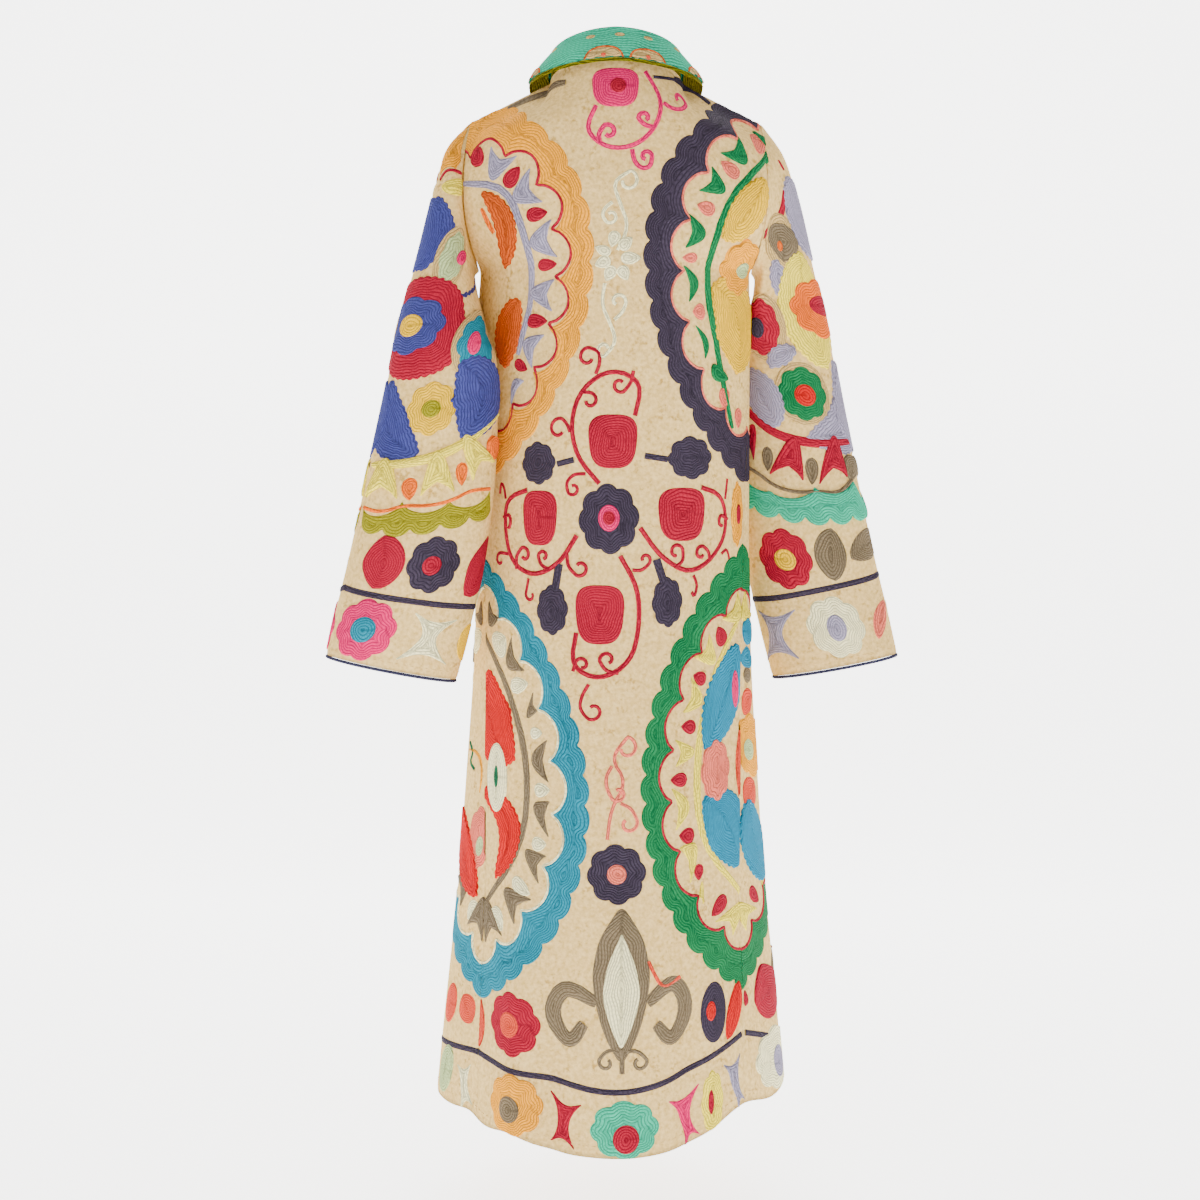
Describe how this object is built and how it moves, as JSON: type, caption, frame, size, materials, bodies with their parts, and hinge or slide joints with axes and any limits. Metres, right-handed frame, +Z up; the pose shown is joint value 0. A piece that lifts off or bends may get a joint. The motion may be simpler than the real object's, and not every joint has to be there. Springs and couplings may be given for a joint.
{
  "type": "long embroidered coat, filled out as if worn",
  "caption": "Ankle-length open coat with wide straight sleeves, a turned-down collar and cord at the cuffs, hollow as if worn",
  "frame": {"origin": "middle of the neck opening at nape height, where the wearer's neck and shoulders carry the coat", "axes": "+Z up towards the neck, -Y out of the coat's back, +Y out of its front, +X to the right of someone who looks at the back"},
  "size_m": [0.6892, 0.3659, 1.2817],
  "materials": {
    "ground_cloth": "matt natural cotton",
    "mint_stitching": "dense matt chain stitch",
    "olive_stitching": "dense matt chain stitch",
    "navy_cord": "matt twisted cord"
  },
  "bodies": {
    "root": {"back": "ground_cloth", "front_left": "ground_cloth", "front_right": "ground_cloth", "sleeve_left": "ground_cloth", "sleeve_right": "ground_cloth", "collar_stand": "olive_stitching", "collar_fall": "mint_stitching", "collar_under": "olive_stitching", "cuff_piping_left": "navy_cord", "cuff_piping_right": "navy_cord"}
  },
  "joints": []
}
